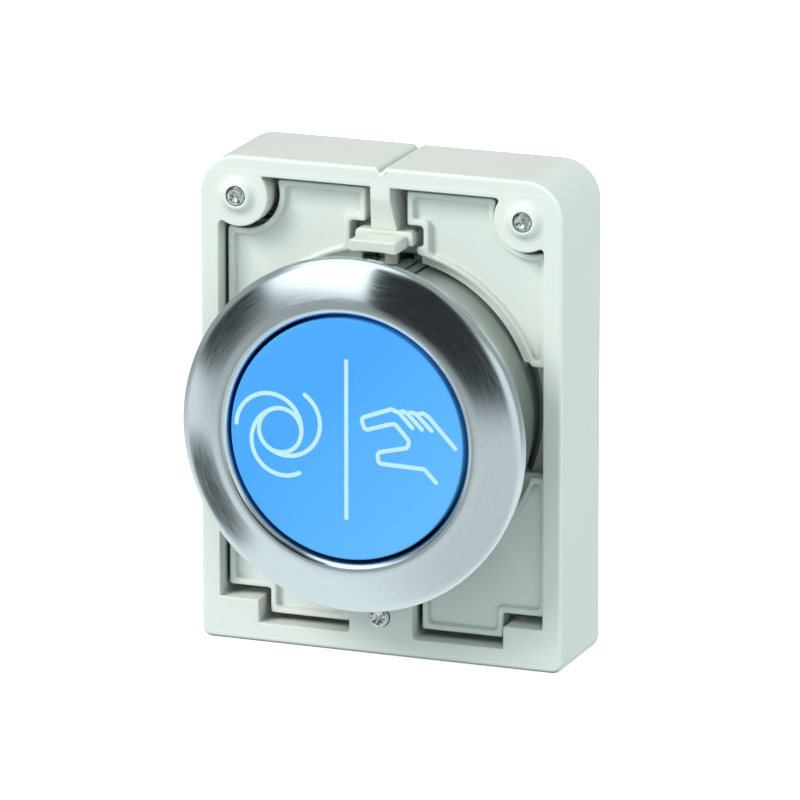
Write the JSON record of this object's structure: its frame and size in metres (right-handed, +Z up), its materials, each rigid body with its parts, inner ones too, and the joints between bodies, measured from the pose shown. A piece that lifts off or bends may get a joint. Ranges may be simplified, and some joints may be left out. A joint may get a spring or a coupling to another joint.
{
  "type": "flush push-button actuator",
  "caption": "Flush round push-button actuator with a brushed steel bezel, panel neck and a screw-clamped rear fixing adapter.",
  "frame": {"origin": "button axis, in the plane where the bezel seats on the panel", "axes": "+X right as seen by the operator, +Y from the operator into the panel, +Z up"},
  "size_m": [0.0384, 0.0244, 0.05],
  "materials": {
    "bezel_steel": "fine circular brushing",
    "blue_cap": "matte",
    "symbol_ink": "matte",
    "frame_plastic": "fine satin moulding",
    "latch_plastic": "fine satin moulding",
    "neck_plastic": "satin glass-filled nylon",
    "inner_plastic": "satin",
    "black_rubber": "matte",
    "spring_steel": "drawn wire",
    "screw_zinc": "bright zinc",
    "insert_brass": "machined"
  },
  "bodies": {
    "actuator": {"bezel_ring": "bezel_steel", "neck_body": "neck_plastic", "panel_gasket": "black_rubber", "bezel_o_ring": "black_rubber", "lip_seal": "black_rubber", "return_spring": "spring_steel", "adapter_frame": "frame_plastic", "latch_springs": "spring_steel", "thread_inserts": "insert_brass", "contact_carrier": "frame_plastic"},
    "button": {"button_cap": "blue_cap", "symbol_auto": "symbol_ink", "symbol_hand": "symbol_ink", "symbol_divider": "symbol_ink", "plunger": "inner_plastic", "retaining_ring": "spring_steel", "push_bridge": "inner_plastic", "bridge_screw": "screw_zinc"},
    "latch": {"latch_plate": "latch_plastic"},
    "screw_left": {"clamp_screw_left": "screw_zinc"},
    "screw_right": {"clamp_screw_right": "screw_zinc"},
    "screw_bottom": {"clamp_screw_bottom": "screw_zinc"}
  },
  "joints": [
    {"name": "button_press", "type": "slide", "parent": "actuator", "child": "button", "axis": [0, 1, 0], "range_m": [0, 0.0045], "stiffness_N_per_m": 900, "springref_m": -0.003, "deforming": ["return_spring"]},
    {"name": "latch_release", "type": "slide", "parent": "actuator", "child": "latch", "axis": [0, 0, -1], "range_m": [0, 0.0005], "stiffness_N_per_m": 1500, "springref_m": -0.001, "deforming": ["latch_springs"]},
    {"name": "screw_left_advance", "type": "slide", "parent": "actuator", "child": "screw_left", "axis": [0, -1, 0], "range_m": [0, 0.005]},
    {"name": "screw_right_advance", "type": "slide", "parent": "actuator", "child": "screw_right", "axis": [0, -1, 0], "range_m": [0, 0.005]},
    {"name": "screw_bottom_advance", "type": "slide", "parent": "actuator", "child": "screw_bottom", "axis": [0, -1, 0], "range_m": [0, 0.005]}
  ]
}
